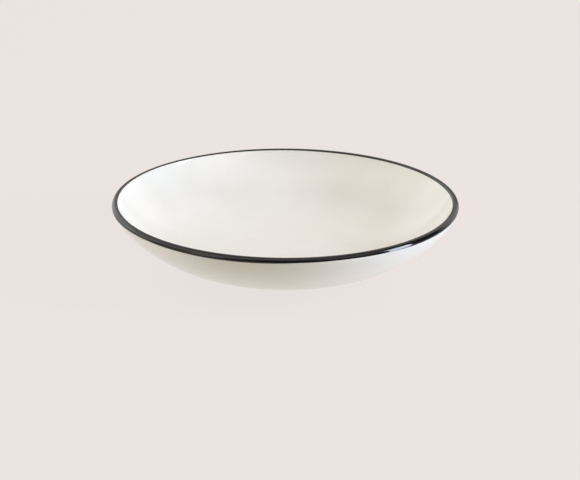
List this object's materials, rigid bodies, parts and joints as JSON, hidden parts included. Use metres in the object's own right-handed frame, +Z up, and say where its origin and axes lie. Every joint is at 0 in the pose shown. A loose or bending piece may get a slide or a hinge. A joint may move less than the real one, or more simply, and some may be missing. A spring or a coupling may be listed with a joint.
{
  "type": "deep plate",
  "caption": "Round deep plate of glazed ceramic with a smooth curved wall, a low foot ring and a black band over the lip.",
  "frame": {"origin": "middle of the foot ring, on the table that the plate stands on", "axes": "+Z up along the plate's axis of symmetry"},
  "size_m": [0.23, 0.23, 0.0426],
  "materials": {
    "bare_clay": "matt, fired and unglazed",
    "white_glaze": "glossy",
    "black_glaze": "glossy"
  },
  "bodies": {
    "root": {"clay_body": "bare_clay", "inner_glaze": "white_glaze", "outer_glaze": "white_glaze", "base_glaze": "white_glaze", "rim_glaze": "black_glaze"}
  },
  "joints": []
}
